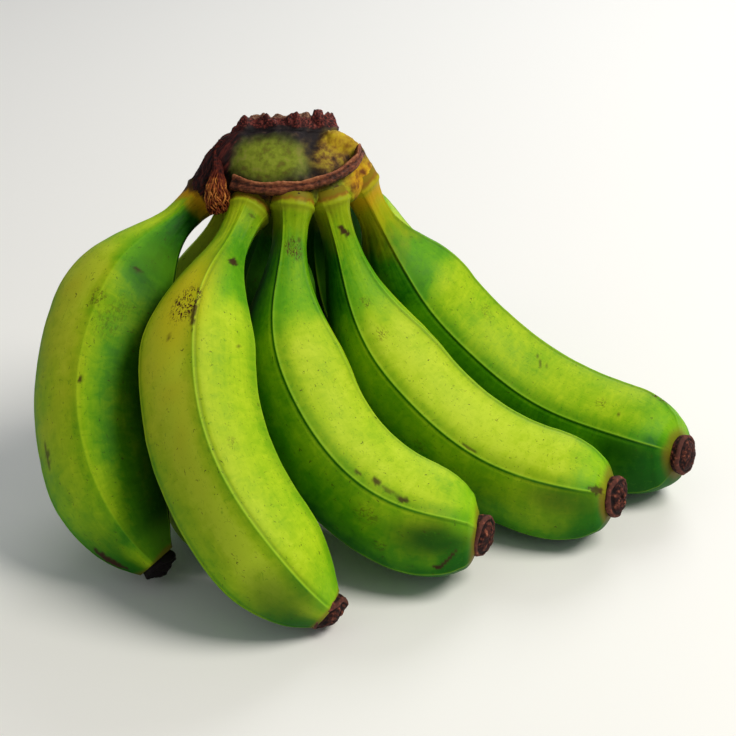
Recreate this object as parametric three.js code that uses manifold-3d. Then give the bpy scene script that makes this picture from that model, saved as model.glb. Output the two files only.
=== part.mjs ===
// A hand of green plantains, cut from its bunch and set down with the crown up.
// Nine fingers hang from one crown in two rows and rest on their bellies and ends.
// Units are millimetres and degrees, +Z is up, and the row of five faces -Y.

import * as THREE from "three";
import { mergeVertices } from "three/addons/utils/BufferGeometryUtils.js";
import Module from "manifold-3d";

const wasm = await Module();
wasm.setup();

// ---------------------------------------------------------------- driving dimensions

const CLEARANCE = 0.3; // gap between two pieces that touch

const NECK_RADIUS = 7.2; // the stalk of a finger at its thinnest
const NECK_FLARE = 1.2; // how much thicker the stalk is where it leaves the crown
const NECK_FLARE_LENGTH = 6;
const NECK_LENGTH = 15; // where a stalk starts to swell into the fruit
const NECK_STRAIGHT = 0.14; // share of a finger's length before it starts to bend
const END_RADIUS = 8.5; // the fruit where the dried flower sits
const ANGULARITY = 0.4; // 0 is a round finger, 1 a five-sided one
const SIDES = 5;
const FLAT_SIDES_EQUAL_ROUND = 1.12; // keeps a five-sided section as big as a round one
const SECTION_POINTS = 15;
const LENGTH_STEPS = 24;
const END_DOME = 0.6; // how far the middle of a cut end stands out
const CROWDING = 0.11; // how far the steps crowd towards both ends of a finger

const BLOSSOM_LENGTH = 5.5; // the dried flower left on a finger's end
const BLOSSOM_SINK = 3; // how much of that length lies inside the finger's own length
const BLOSSOM_WIDTHS = [0.93, 1.05, 1, 0.72]; // shares of the end radius, from the fruit outwards
const BLOSSOM_FACE_DOME = 0.3; // how far its face stands out
const BLOSSOM_BACK_DOME = 0.05;
const BLOSSOM_LUMPS = [0.04, 0.03]; // share of its radius that its three and five lumps stand out

// Each finger leaves the crown at its root along one heading and arrives at its end along
// another. A heading is [azimuth, elevation]: azimuth 0 is +X, 90 is +Y.
// bend: above 1 bends late; shoulder: where the fruit reaches its full girth; taper: length
// over which it rounds off to its end; blunt: 1 rounds it off slowly, 0.5 as an ellipse does;
// ridge: where its sharpest ridge lies round the finger, from the hollow side; twist: how far
// it turns.
const FINGERS = [
  {
    name: "front_1",
    root: [-70, 52, 131],
    leave: [-136, -28],
    arrive: [-25, -40.2],
    length: 185,
    bend: 1.084,
    girth: 47.5,
    shoulder: 66,
    taper: 44,
    blunt: 1,
    ridge: 110,
    twist: 0,
  },
  {
    name: "front_2",
    root: [-51, 34, 130],
    leave: [-111, -27],
    arrive: [-6, -35.5],
    length: 198,
    bend: 1.13,
    girth: 46.5,
    shoulder: 79,
    taper: 38,
    blunt: 1,
    ridge: 119,
    twist: -6,
  },
  {
    name: "front_3",
    root: [-32, 33.5, 133.5],
    leave: [-97, -55],
    arrive: [-7, 2],
    length: 185,
    bend: 1.3,
    girth: 46.5,
    shoulder: 78,
    taper: 28,
    blunt: 0.5,
    ridge: 110,
    twist: -34,
  },
  {
    name: "front_4",
    root: [-17, 41.5, 133],
    leave: [-45, -68],
    arrive: [-21, 10.5],
    length: 197,
    bend: 1.155,
    girth: 46.5,
    shoulder: 86,
    taper: 30,
    blunt: 0.5,
    ridge: 84,
    twist: -22,
  },
  {
    name: "front_5",
    root: [-5, 57, 135],
    leave: [16, -66],
    arrive: [-38, 11],
    length: 213,
    bend: 0.975,
    girth: 47.5,
    shoulder: 63,
    taper: 26,
    blunt: 0.5,
    ridge: 39,
    twist: 0,
  },
  {
    name: "back_1",
    root: [-57, 62.5, 124],
    leave: [-151, -56],
    arrive: [-46, 0],
    length: 180,
    bend: 1,
    girth: 41.8,
    shoulder: 68,
    taper: 30,
    blunt: 1,
    ridge: 100,
    twist: 0,
  },
  {
    name: "back_2",
    root: [-41.5, 57, 130.5],
    leave: [-126, -81],
    arrive: [-28, -8],
    length: 155,
    bend: 1.1,
    girth: 38.5,
    shoulder: 44,
    taper: 33,
    blunt: 1,
    ridge: 95,
    twist: 0,
  },
  {
    name: "back_3",
    root: [-23.5, 62, 127.5],
    leave: [102, -68],
    arrive: [-11, -7.5],
    length: 160,
    bend: 1,
    girth: 43,
    shoulder: 68,
    taper: 34,
    blunt: 1,
    ridge: 70,
    twist: 0,
  },
  {
    name: "back_4",
    root: [-8, 74.5, 129],
    leave: [90, -41],
    arrive: [-22, -26.5],
    length: 173,
    bend: 1.3,
    girth: 43,
    shoulder: 68,
    taper: 34,
    blunt: 1,
    ridge: 60,
    twist: 0,
  },
];

// The crown runs from between the two rows up and back to the cut. Each station is
// [distance along the crown, middle across, half width, half depth].
const CROWN_FOOT = [0, 48, 131];
const CROWN_HEADING = [90, 63];
const CROWN_MIDDLE = -35;
const CROWN_STATIONS = [
  [-6, -36, 20, 8],
  [-2, -34, 29, 15],
  [3, -33, 31, 18],
  [11, -33.2, 29.8, 17.5],
  [18, -34.5, 27.5, 15.5],
  [24, -35.8, 24, 12.5],
  [28, -35.8, 21.5, 10],
  [31, -35.5, 21.3, 9.5],
  [33.5, -35.5, 20.3, 8.7],
];
const CROWN_SECTION_POINTS = 30;
const COLLAR_RADIUS = 9.3; // the crown's own flesh where a finger leaves it
const COLLAR_LENGTH = 26;
const COLLAR_BEND = 0.45; // share of that length where a collar turns into the crown
const COLLAR_HEART = 17; // how far up the crown the collars run together
const COLLAR_PULL = 0.75; // how far a collar's start is pulled to where they run together
const COLLAR_SPREAD = 0.5; // 0 brings them together at the crown's middle, 1 not at all
const COLLAR_POINTS = 12;
const COLLAR_STEPS = 5;

// The dried bract's scar: a leathery ridge round the front of the crown, above the stalks.
const SCAR_ROUTE = [
  [-58, 35, 142.5],
  [-50, 31.5, 141.5],
  [-37, 29.5, 141.5],
  [-19, 33, 143.5],
  [-8, 41, 147],
  [-2, 50, 151],
];
const SCAR_HALF_HEIGHT = 3;
const SCAR_HALF_DEPTH = 2;
const SCAR_TIP = 0.74; // share of its thickness left at either end
const SCAR_STEPS = 24;

// The dried stub: a tuft of old stem fibres that hangs at the left of the crown.
const STUB_ROUTE = [
  [-61, 46, 158],
  [-66, 40, 148],
  [-67, 35, 138],
  [-65, 31, 128],
];
const STUB_RADII = [1.8, 3, 5, 4.6];
const STUB_STEPS = 12;
const SMALL_SECTION_POINTS = 10; // round the scar and the stub
const SMALL_DOME = 0.5;

// ---------------------------------------------------------------- vectors and closed lofts

const radians = THREE.MathUtils.degToRad;
const lerp = THREE.MathUtils.lerp;

function heading([azimuth, elevation]) {
  const flat = Math.cos(radians(elevation));
  return new THREE.Vector3(
    flat * Math.cos(radians(azimuth)),
    flat * Math.sin(radians(azimuth)),
    Math.sin(radians(elevation)),
  );
}

function turnBetween(from, to, share) {
  const angle = from.angleTo(to);
  return from
    .clone()
    .multiplyScalar(Math.sin((1 - share) * angle))
    .addScaledVector(to, Math.sin(share * angle))
    .divideScalar(Math.sin(angle));
}

// Points round a place, from direction one towards direction other. halfSizes are its reaches
// along the two, and bulge(angle) makes it wider or narrower round the ring.
function ringOf(place, one, other, halfSizes, count, bulge = () => 1) {
  return Array.from({ length: count }, (_, j) => {
    const round = (j / count) * 2 * Math.PI;
    return place
      .clone()
      .addScaledVector(one, halfSizes[0] * bulge(round) * Math.cos(round))
      .addScaledVector(other, halfSizes[1] * bulge(round) * Math.sin(round));
  });
}

// Rings along a route. Each one's first half size lies across facing, its second towards it.
function sweep(route, facing, steps, count, halfSizesAt) {
  return Array.from({ length: steps + 1 }, (_, i) => {
    const along = route.getTangentAt(i / steps);
    const one = along.clone().cross(facing).normalize();
    const other = along.clone().cross(one);
    return ringOf(route.getPointAt(i / steps), one, other, halfSizesAt(i / steps), count);
  });
}

function smoothRoute(points) {
  return new THREE.CatmullRomCurve3(points.map((point) => new THREE.Vector3(...point)));
}

// rings: arrays of points, all of one length, anticlockwise round the way they advance.
// Each end closes on a point pushed out by its dome height.
function loft(rings, startDome, endDome) {
  const count = rings[0].length;
  const last = rings.length - 1;
  const centreOf = (ring) => ring.reduce((sum, p) => sum.add(p), new THREE.Vector3()).divideScalar(count);
  const poleOf = (end, before, dome) => {
    const out = centreOf(end).sub(centreOf(before)).setLength(dome);
    return centreOf(end).add(out);
  };
  const points = rings.flat();
  const startPole = points.push(poleOf(rings[0], rings[1], startDome)) - 1;
  const endPole = points.push(poleOf(rings[last], rings[last - 1], endDome)) - 1;
  const faces = [];
  for (let j = 0; j < count; j++) {
    const next = (j + 1) % count;
    faces.push(startPole, next, j);
    faces.push(endPole, last * count + j, last * count + next);
    for (let i = 0; i < last; i++) {
      const low = i * count;
      const high = low + count;
      faces.push(low + j, low + next, high + next);
      faces.push(low + j, high + next, high + j);
    }
  }
  const geometry = new THREE.BufferGeometry().setFromPoints(points);
  geometry.setIndex(faces);
  geometry.computeVertexNormals();
  return geometry;
}

// ---------------------------------------------------------------- fingers

// The centre line of a finger as stations: place, heading and the two directions across it.
function centreLine(finger, from, to, steps) {
  const leave = heading(finger.leave);
  const arrive = heading(finger.arrive);
  const side = leave.clone().cross(arrive).normalize();
  const headingAt = (share) => {
    const bent = Math.max(0, (share - NECK_STRAIGHT) / (1 - NECK_STRAIGHT));
    return turnBetween(leave, arrive, bent ** finger.bend);
  };
  const place = new THREE.Vector3(...finger.root);
  let travelled = 0;
  const walkTo = (distance) => {
    const hops = Math.max(1, Math.ceil(Math.abs(distance - travelled)));
    const hop = (distance - travelled) / hops;
    for (let k = 0; k < hops; k++) {
      const middle = Math.max(0, travelled + hop * (k + 0.5));
      place.addScaledVector(headingAt(middle / finger.length), hop);
    }
    travelled = distance;
  };
  const stations = [];
  for (let i = 0; i <= steps; i++) {
    const share = i / steps - CROWDING * Math.sin((i / steps) * 2 * Math.PI);
    const distance = lerp(from, to, share);
    walkTo(distance);
    const along = headingAt(Math.max(0, distance) / finger.length);
    stations.push({ distance, place: place.clone(), side, inner: side.clone().cross(along) });
  }
  return stations;
}

function fingerRadius(finger, distance) {
  const swell = THREE.MathUtils.smoothstep(distance, NECK_LENGTH, finger.shoulder);
  const flare = (NECK_FLARE - 1) * NECK_RADIUS * Math.exp(-((distance / NECK_FLARE_LENGTH) ** 2));
  const full = lerp(NECK_RADIUS, finger.girth / 2, swell) + flare;
  const end = finger.length - BLOSSOM_SINK;
  const taper = THREE.MathUtils.clamp((distance - end + finger.taper) / finger.taper, 0, 1);
  return END_RADIUS + (full - END_RADIUS) * (1 - taper ** 2) ** finger.blunt;
}

// A round section pulled towards five flat faces, with a ridge at angle 0.
function fiveSided(angle) {
  const face = (2 * Math.PI) / SIDES;
  const fromFlat = THREE.MathUtils.euclideanModulo(angle, face) - face / 2;
  const flat = Math.cos(face / 2) / Math.cos(fromFlat);
  return lerp(1, flat * FLAT_SIDES_EQUAL_ROUND, ANGULARITY);
}

function fingerRing(finger, station, grow) {
  const radius = fingerRadius(finger, station.distance) + grow;
  const start = radians(finger.ridge + (finger.twist * station.distance) / finger.length);
  const { inner, side } = station;
  const one = inner.clone().multiplyScalar(Math.cos(start)).addScaledVector(side, Math.sin(start));
  const other = side.clone().multiplyScalar(Math.cos(start)).addScaledVector(inner, -Math.sin(start));
  return ringOf(station.place, one, other, [radius, radius], SECTION_POINTS, fiveSided);
}

function fingerGeometry(finger, grow = 0) {
  const end = finger.length - BLOSSOM_SINK + grow;
  const rings = centreLine(finger, -grow, end, LENGTH_STEPS).map((s) => fingerRing(finger, s, grow));
  return loft(rings, END_DOME, END_DOME);
}

// The dried flower is a low lumpy button, widest at its middle and hollowed at its end.
function blossomGeometry(finger) {
  const from = finger.length - BLOSSOM_SINK + END_DOME + CLEARANCE;
  const stations = centreLine(finger, from, from + BLOSSOM_LENGTH, BLOSSOM_WIDTHS.length - 1);
  const [threeLumps, fiveLumps] = BLOSSOM_LUMPS;
  const rings = stations.map(({ place, inner, side }, i) => {
    const radius = END_RADIUS * BLOSSOM_WIDTHS[i];
    const lumpy = (round) => 1 + threeLumps * Math.sin(3 * round + i) + fiveLumps * Math.sin(5 * round);
    return ringOf(place, inner, side, [radius, radius], SECTION_POINTS, lumpy);
  });
  return loft(rings, BLOSSOM_BACK_DOME, BLOSSOM_FACE_DOME);
}

// ---------------------------------------------------------------- scar and stub

function scarGeometry(grow = 0) {
  const halfSizesAt = (share) => {
    const thin = lerp(SCAR_TIP, 1, Math.sqrt(Math.max(0, Math.sin(Math.PI * share))));
    return [SCAR_HALF_DEPTH * thin + grow, SCAR_HALF_HEIGHT * thin + grow];
  };
  const up = heading(CROWN_HEADING);
  const rings = sweep(smoothRoute(SCAR_ROUTE), up, SCAR_STEPS, SMALL_SECTION_POINTS, halfSizesAt);
  return loft(rings, SMALL_DOME + grow, SMALL_DOME + grow);
}

function stubGeometry(grow = 0) {
  const halfSizesAt = (share) => {
    const place = share * (STUB_RADII.length - 1);
    const slot = Math.min(Math.floor(place), STUB_RADII.length - 2);
    const radius = lerp(STUB_RADII[slot], STUB_RADII[slot + 1], place - slot) + grow;
    return [radius, radius];
  };
  const back = new THREE.Vector3(0, 1, 0);
  const rings = sweep(smoothRoute(STUB_ROUTE), back, STUB_STEPS, SMALL_SECTION_POINTS, halfSizesAt);
  return loft(rings, SMALL_DOME + grow, SMALL_DOME + grow);
}

// ---------------------------------------------------------------- crown

function solidOf(geometry) {
  const bare = geometry.clone();
  bare.deleteAttribute("normal");
  bare.deleteAttribute("uv");
  const merged = mergeVertices(bare, 1e-4);
  return new wasm.Manifold(
    new wasm.Mesh({
      numProp: 3,
      vertProperties: merged.attributes.position.array,
      triVerts: new Uint32Array(merged.index.array),
    }),
  );
}

function geometryOf(solid) {
  const mesh = solid.getMesh();
  const geometry = new THREE.BufferGeometry();
  geometry.setAttribute("position", new THREE.BufferAttribute(mesh.vertProperties, 3));
  geometry.setIndex(new THREE.BufferAttribute(mesh.triVerts, 1));
  geometry.computeVertexNormals();
  return geometry;
}

function alongCrown(distance, across) {
  const place = new THREE.Vector3(...CROWN_FOOT).addScaledVector(heading(CROWN_HEADING), distance);
  place.x += across;
  return place;
}

function crownBody() {
  const across = new THREE.Vector3(1, 0, 0);
  const back = heading(CROWN_HEADING).cross(across);
  const rings = CROWN_STATIONS.map(([distance, middle, halfWidth, halfDepth]) =>
    ringOf(alongCrown(distance, middle), across, back, [halfWidth, halfDepth], CROWN_SECTION_POINTS),
  );
  return loft(rings, SMALL_DOME, SMALL_DOME);
}

// A collar carries a finger's root back into the crown, along the way the finger leaves it.
function collar(finger) {
  const out = heading(finger.leave);
  const root = new THREE.Vector3(...finger.root);
  const heart = alongCrown(COLLAR_HEART, lerp(CROWN_MIDDLE, root.x, COLLAR_SPREAD));
  const start = root.clone().addScaledVector(out, -COLLAR_LENGTH).lerp(heart, COLLAR_PULL);
  const bend = root.clone().addScaledVector(out, -COLLAR_LENGTH * COLLAR_BEND);
  const route = new THREE.QuadraticBezierCurve3(start, bend, root);
  const facing = new THREE.Vector3(0, 1, 0.3);
  const halfSizesAt = () => [COLLAR_RADIUS, COLLAR_RADIUS];
  const rings = sweep(route, facing, COLLAR_STEPS, COLLAR_POINTS, halfSizesAt);
  return loft(rings, SMALL_DOME, SMALL_DOME);
}

function crownGeometry() {
  let crown = solidOf(crownBody());
  for (const finger of FINGERS) crown = crown.add(solidOf(collar(finger)));
  const neighbours = FINGERS.map((finger) => fingerGeometry(finger, CLEARANCE));
  neighbours.push(scarGeometry(CLEARANCE), stubGeometry(CLEARANCE));
  for (const neighbour of neighbours) crown = crown.subtract(solidOf(neighbour));
  return geometryOf(crown);
}

// ---------------------------------------------------------------- the hand

const hand = new THREE.Group();

function addPiece(name, geometry, color, roughness) {
  const material = new THREE.MeshStandardMaterial({ color, roughness, metalness: 0 });
  const piece = new THREE.Mesh(geometry, material);
  piece.name = name;
  hand.add(piece);
}

addPiece("crown", crownGeometry(), 0x6b5a26, 0.6);
addPiece("bract_scar", scarGeometry(), 0x51311c, 0.8);
addPiece("dried_stub", stubGeometry(), 0x592e18, 0.85);
for (const finger of FINGERS) {
  addPiece("finger_" + finger.name, fingerGeometry(finger), 0x8fb522, 0.4);
  addPiece("blossom_end_" + finger.name, blossomGeometry(finger), 0x5d362b, 0.85);
}

// The origin is on the ground under the middle of the hand.
const box = new THREE.Box3().setFromObject(hand, true);
const middle = box.getCenter(new THREE.Vector3());
hand.position.set(-middle.x, -middle.y, -box.min.z);

const plantain = new THREE.Group();
plantain.name = "plantain_hand";
plantain.add(hand);

export default plantain;
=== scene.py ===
# %% [markdown]
# # A hand of green plantains
# A hand is one tier of a plantain bunch, cut off with its crown. Nine fingers hang from the crown in two
# rows, and the hand is set down with the crown up, so it rests on the fruits' bellies and ends.
# The CAD model fixes where everything is and how big it is. This script reads those sizes back and grows
# the real surfaces round them: ridged peel, dried flowers, a corky cut and a tuft of old fibres.

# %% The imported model
import math

import bmesh
import bpy
import numpy as np
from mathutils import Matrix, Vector, noise


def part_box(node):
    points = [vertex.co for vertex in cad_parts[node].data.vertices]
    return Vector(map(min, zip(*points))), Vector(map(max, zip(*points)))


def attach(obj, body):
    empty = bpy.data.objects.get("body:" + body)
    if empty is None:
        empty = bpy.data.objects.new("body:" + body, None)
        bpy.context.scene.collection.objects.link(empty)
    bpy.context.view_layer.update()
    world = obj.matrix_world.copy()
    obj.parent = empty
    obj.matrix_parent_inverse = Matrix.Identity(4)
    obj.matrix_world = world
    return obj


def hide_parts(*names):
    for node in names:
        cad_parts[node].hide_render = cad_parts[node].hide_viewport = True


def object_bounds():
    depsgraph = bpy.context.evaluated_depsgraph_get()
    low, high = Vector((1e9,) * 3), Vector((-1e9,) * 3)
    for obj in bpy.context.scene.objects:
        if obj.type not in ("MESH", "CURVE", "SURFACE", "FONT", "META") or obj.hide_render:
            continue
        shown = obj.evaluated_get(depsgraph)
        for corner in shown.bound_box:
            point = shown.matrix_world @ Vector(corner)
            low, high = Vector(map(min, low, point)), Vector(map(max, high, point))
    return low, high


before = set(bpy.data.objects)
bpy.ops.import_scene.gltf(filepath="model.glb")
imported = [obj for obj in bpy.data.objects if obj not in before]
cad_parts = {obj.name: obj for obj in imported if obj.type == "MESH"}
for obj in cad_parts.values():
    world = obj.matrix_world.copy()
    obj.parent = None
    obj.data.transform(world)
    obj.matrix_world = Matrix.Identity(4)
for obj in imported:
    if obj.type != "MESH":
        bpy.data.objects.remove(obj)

MM = 0.001  # the frame is in metres, and sizes below are given in millimetres
cad_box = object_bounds()
low, high = (np.array(corner) for corner in cad_box)
print("CAD box in mm:", np.round((high - low) / MM, 1))

# %% [markdown]
# ## Camera
# The hand is seen from a little above, square to its row of five. A long lens set well back keeps the
# near finger from looking swollen. The camera looks at a point near the hand's middle, a little towards its
# front. The camera, the lamps and every piece are put in the scene by the same small function.

# %% Camera
CAMERA_RISE = math.radians(28)
CAMERA_DISTANCE = 0.7
LENS_MM = 80
LOOK_AT = Vector((-0.0046, -0.0316, 0.0701))


def put_in_scene(name, data):
    """An object in the scene that holds the given mesh, lamp or camera."""
    thing = bpy.data.objects.new(name, data)
    bpy.context.scene.collection.objects.link(thing)
    return thing


def make_camera():
    data = bpy.data.cameras.new("camera")
    data.lens = LENS_MM
    camera = put_in_scene("camera", data)
    back = Vector((0, -math.cos(CAMERA_RISE), math.sin(CAMERA_RISE)))
    camera.location = LOOK_AT + back * CAMERA_DISTANCE
    camera.rotation_euler = (math.pi / 2 - CAMERA_RISE, 0, 0)
    return camera


bpy.context.scene.camera = make_camera()
print("camera at", tuple(round(x, 3) for x in bpy.context.scene.camera.location))

# %% [markdown]
# ## Helpers for materials
# Colours are written as they look on a screen, in sRGB hex, and Blender's shaders want linear light, so
# one function turns the one into the other. Another adds a shader node with its settings and its links
# in one line, which keeps each material short enough to read. A third starts a material. On a fruit, colour
# lies on colour: green, then yellow, then a bruise. So the last one lays a list of colours over a first one,
# each where its own map says.


# %% Colour and node helpers
def linear(hex_colour):
    parts = [int(hex_colour[i:i + 2], 16) / 255 for i in (1, 3, 5)]
    light = [c / 12.92 if c <= 0.04045 else ((c + 0.055) / 1.055) ** 2.4 for c in parts]
    return (*light, 1.0)


def add(tree, kind, settings=None, output=0, **inputs):
    """Adds a node and gives back one of its outputs. settings are the node's own properties, with a
    colour ramp's stops as {place: colour}. An input is a value, a hex colour or another node's output,
    and is named by its socket or, as _0, _1 and so on, by its number."""
    node = tree.nodes.new(kind)
    for name, value in (settings or {}).items():
        if name == "stops":
            node.color_ramp.elements.remove(node.color_ramp.elements[1])
            for k, (place, colour) in enumerate(value.items()):
                stop = node.color_ramp.elements[0] if k == 0 else node.color_ramp.elements.new(place)
                stop.position = place
                stop.color = linear(colour)
        else:
            setattr(node, name, value)
    for name, value in inputs.items():
        socket = node.inputs[int(name[1:]) if name[0] == "_" else name.replace("_", " ")]
        if isinstance(value, bpy.types.NodeSocket):
            tree.links.new(value, socket)
        else:
            socket.default_value = linear(value) if isinstance(value, str) else value
    return node.outputs[output]


def new_material(name, roughness):
    """A Principled material, its node tree and its shader node."""
    material = bpy.data.materials.new(name)
    material.use_nodes = True
    shader = material.node_tree.nodes["Principled BSDF"]
    shader.inputs["Roughness"].default_value = roughness
    return material, material.node_tree, shader


def lay_over(tree, colour, layers):
    """Lays colours over a first one. Each layer is where it lies, how strong it is and its colour."""
    for mask, amount, layer in layers:
        mask = add(tree, "ShaderNodeMath", {"operation": "MULTIPLY"}, _0=mask, _1=amount)
        colour = add(tree, "ShaderNodeMix", {"data_type": "RGBA"}, 2, _0=mask, _6=colour, _7=layer)
    return colour


print("mid grey in linear light:", round(linear("#808080")[0], 3))

# %% [markdown]
# ## Floor and light
# The floor is a plain pale board with matt paint, which gives soft shadows and no mirror image. One big
# soft lamp stands high on the right, a second behind the hand draws a thin bright line down its edges, and
# a weak one fills from the front left. The sky is dim, so the faces turned away to the lower left stay
# deep green.


# %% Floor and lights
FLOOR_HALF_SIDE = 4.0
SKY_STRENGTH = 0.26


def make_floor():
    corners = [(-1, -1), (1, -1), (1, 1), (-1, 1)]
    mesh = bpy.data.meshes.new("floor")
    mesh.from_pydata([(x * FLOOR_HALF_SIDE, y * FLOOR_HALF_SIDE, 0) for x, y in corners], [], [(0, 1, 2, 3)])
    material, _, shader = new_material("pale_painted_board", 0.7)
    shader.inputs["Base Color"].default_value = linear("#f4f4f2")
    mesh.materials.append(material)
    floor = put_in_scene("floor", mesh)


def soft_lamp(name, place, side, power, colour="#ffffff"):
    data = bpy.data.lights.new(name, "AREA")
    data.shape = "DISK"
    data.size = side
    data.energy = power
    data.color = linear(colour)[:3]
    lamp = put_in_scene(name, data)
    lamp.location = place
    lamp.rotation_euler = (Vector(place) - LOOK_AT).to_track_quat("Z", "Y").to_euler()
    return lamp


make_floor()
lamps = [
    soft_lamp("key_lamp", (0.95, -0.30, 1.30), 0.8, 21, "#fffaf0"),
    soft_lamp("back_lamp", (0.5, 1.1, 0.9), 0.8, 7),
    soft_lamp("fill_lamp", (-1.3, -0.9, 0.9), 1.0, 1.5),
]
sky = bpy.data.worlds.new("sky")
sky.use_nodes = True
background = sky.node_tree.nodes["Background"]
background.inputs["Color"].default_value = linear("#f2f5f8")
background.inputs["Strength"].default_value = SKY_STRENGTH
bpy.context.scene.world = sky
bpy.context.scene.view_settings.view_transform = "Standard"
print("lamps in watts:", {lamp.name: round(lamp.data.energy, 1) for lamp in lamps})

# %% [markdown]
# ## Reading a swept solid
# Each finger in the CAD model is a tube of rings that closes on a point at either end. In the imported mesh
# nothing says which ring a point is in, but the mesh's own edges do: starting from the closing point, each
# step along the edges reaches exactly the next ring. So the rings come back in order, whatever order the
# file holds its points in.

# %% Rings of a solid
MERGE = 0.01 * MM
crown_low, crown_high = (np.array(corner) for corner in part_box("crown"))
crown_middle = Vector((crown_low + crown_high) / 2)


def rings_of(node):
    """The rings of points of a swept solid, from the end nearer the crown, without its two poles."""
    solid = bmesh.new()
    solid.from_mesh(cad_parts[node].data)
    bmesh.ops.remove_doubles(solid, verts=solid.verts, dist=MERGE)
    poles = sorted(solid.verts, key=lambda v: len(v.link_edges))[-2:]
    layer = [min(poles, key=lambda v: (v.co - crown_middle).length)]
    seen, rings = set(layer), []
    while len(layer) > 1 or not rings:
        layer = list({e.other_vert(v) for v in layer for e in v.link_edges} - seen)
        seen.update(layer)
        if len(layer) > 1:
            rings.append(np.array([v.co for v in layer]))
    solid.free()
    return rings


def smooth_through(at, knots, values):
    """Values between the knots on a smooth curve through them. Past the ends it runs on straight."""
    at, values = np.asarray(at, float), np.asarray(values, float)
    slopes = np.gradient(values, knots, axis=0)
    i = np.clip(np.searchsorted(knots, at) - 1, 0, len(knots) - 2)
    span = knots[i + 1] - knots[i]
    inside = np.clip(at, knots[0], knots[-1])
    t = (inside - knots[i]) / span
    over = at - inside
    if values.ndim > 1:
        span, t, over = span[:, None], t[:, None], over[:, None]
    curve = values[i] * (1 + 2 * t) * (1 - t) ** 2 + values[i + 1] * t**2 * (3 - 2 * t)
    curve += span * t * (1 - t) * (slopes[i] * (1 - t) - slopes[i + 1] * t)
    end_slope = np.where(over < 0, slopes[0], slopes[-1])
    return curve + over * end_slope


def unit(vectors):
    return vectors / np.linalg.norm(vectors, axis=-1, keepdims=True)


print("rings down the first finger:", len(rings_of("finger_front_1")))

# %% [markdown]
# ## Closed skins
# Every fruit, dried flower and scar is one closed skin: a grid of points wound round a centre line, with a
# single point that closes each end. Building it as a grid keeps two useful numbers for each point, how
# far along it is and how far round, and every pattern on the peel is drawn with those two.


# %% Closed skin from a grid of points
def make_object(name, points, faces):
    mesh = bpy.data.meshes.new(name)
    mesh.from_pydata(points.tolist(), [], faces)
    mesh.shade_smooth()
    return put_in_scene(name, mesh)


def grid_faces(rows, columns):
    """Quads of a tube of rows rings, then triangles that close it on the two last points."""
    i, j = np.meshgrid(np.arange(rows - 1), np.arange(columns), indexing="ij")
    a = i * columns + j
    b = i * columns + (j + 1) % columns
    quads = np.stack([a, b, b + columns, a + columns], axis=-1).reshape(-1, 4).tolist()
    first, last = rows * columns, rows * columns + 1
    end = (rows - 1) * columns
    caps = [(first, (k + 1) % columns, k) for k in range(columns)]
    caps += [(last, end + k, end + (k + 1) % columns) for k in range(columns)]
    return quads + caps


def closed_skin(name, grid):
    """grid is rows x columns points. Each end closes on the mean of its last ring."""
    rows, columns, _ = grid.shape
    points = np.concatenate([grid.reshape(-1, 3), [grid[0].mean(0)], [grid[-1].mean(0)]])
    return make_object(name, points, grid_faces(rows, columns))


def stand_for(piece, node):
    """The piece moves with the hand and replaces its CAD node, which is hidden."""
    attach(piece, "root")
    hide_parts(node)


# %% [markdown]
# A shader can read a number that is stored on each point of a mesh, and blends it across the faces. That is
# how the patterns reach the materials: they are worked out here as arrays, for all points at once, and
# stored under a name. Painting by hand would do it too, but then a longer fruit would need new paint.


# %% Maps on the points of a piece
def paint(piece, name, grid_values):
    """Stores one number, or one vector, for each point of a skin made from a grid."""
    values = np.asarray(grid_values, np.float32)
    rows, columns = values.shape[:2]
    ends = [values[row].reshape(columns, -1).mean(0) for row in (0, -1)]
    paint_points(piece, name, np.concatenate([values.reshape(rows * columns, -1), ends]))


def paint_points(piece, name, values):
    values = np.asarray(values, np.float32).reshape(len(piece.data.vertices), -1)
    kind, key = ("FLOAT_VECTOR", "vector") if values.shape[1] == 3 else ("FLOAT", "value")
    layer = piece.data.attributes.new(name, kind, "POINT")
    layer.data.foreach_set(key, values.ravel())


def read_points(piece, key):
    """Where each point of a piece is, with key "co", or which way it faces, with key "normal"."""
    flat = np.empty(len(piece.data.vertices) * 3, np.float32)
    piece.data.vertices.foreach_get(key, flat)
    return flat.reshape(-1, 3).astype(float)


# %% [markdown]
# Four small functions shape nearly everything that follows: smooth random lumps, a bell for whatever is
# strong in one place and fades to both sides, a ramp for whatever changes from one state to another, and a
# ring of directions round a line.


# %% Lumps, bells, ramps and rings
def lumps(points, size, octaves, seed):
    """Smooth random heights from about -1 to 1 at each point. size is the width of a lump."""
    flat = np.asarray(points).reshape(-1, 3) / size + seed * 17.3
    if octaves == 1:
        heights = [noise.noise(p) for p in flat.tolist()]
    else:
        heights = [noise.fractal(p, 0.9, 2.0, octaves) for p in flat.tolist()]
    return np.array(heights).reshape(np.asarray(points).shape[:-1])


def bell(x, middle, half_width):
    return np.exp(-(((x - middle) / half_width) ** 2))


def ramp(x, start, end):
    t = np.clip((x - start) / (end - start), 0, 1)
    return t * t * (3 - 2 * t)


def all_round(one, other, count):
    """Directions all round a line, from two that are square to it and to each other."""
    turn = np.linspace(0, 2 * math.pi, count, endpoint=False)[:, None]
    return one[..., None, :] * np.cos(turn) + other[..., None, :] * np.sin(turn)


print("a ramp from 0 to 1:", ramp(np.linspace(0, 1, 5), 0, 1).round(2))

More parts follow.
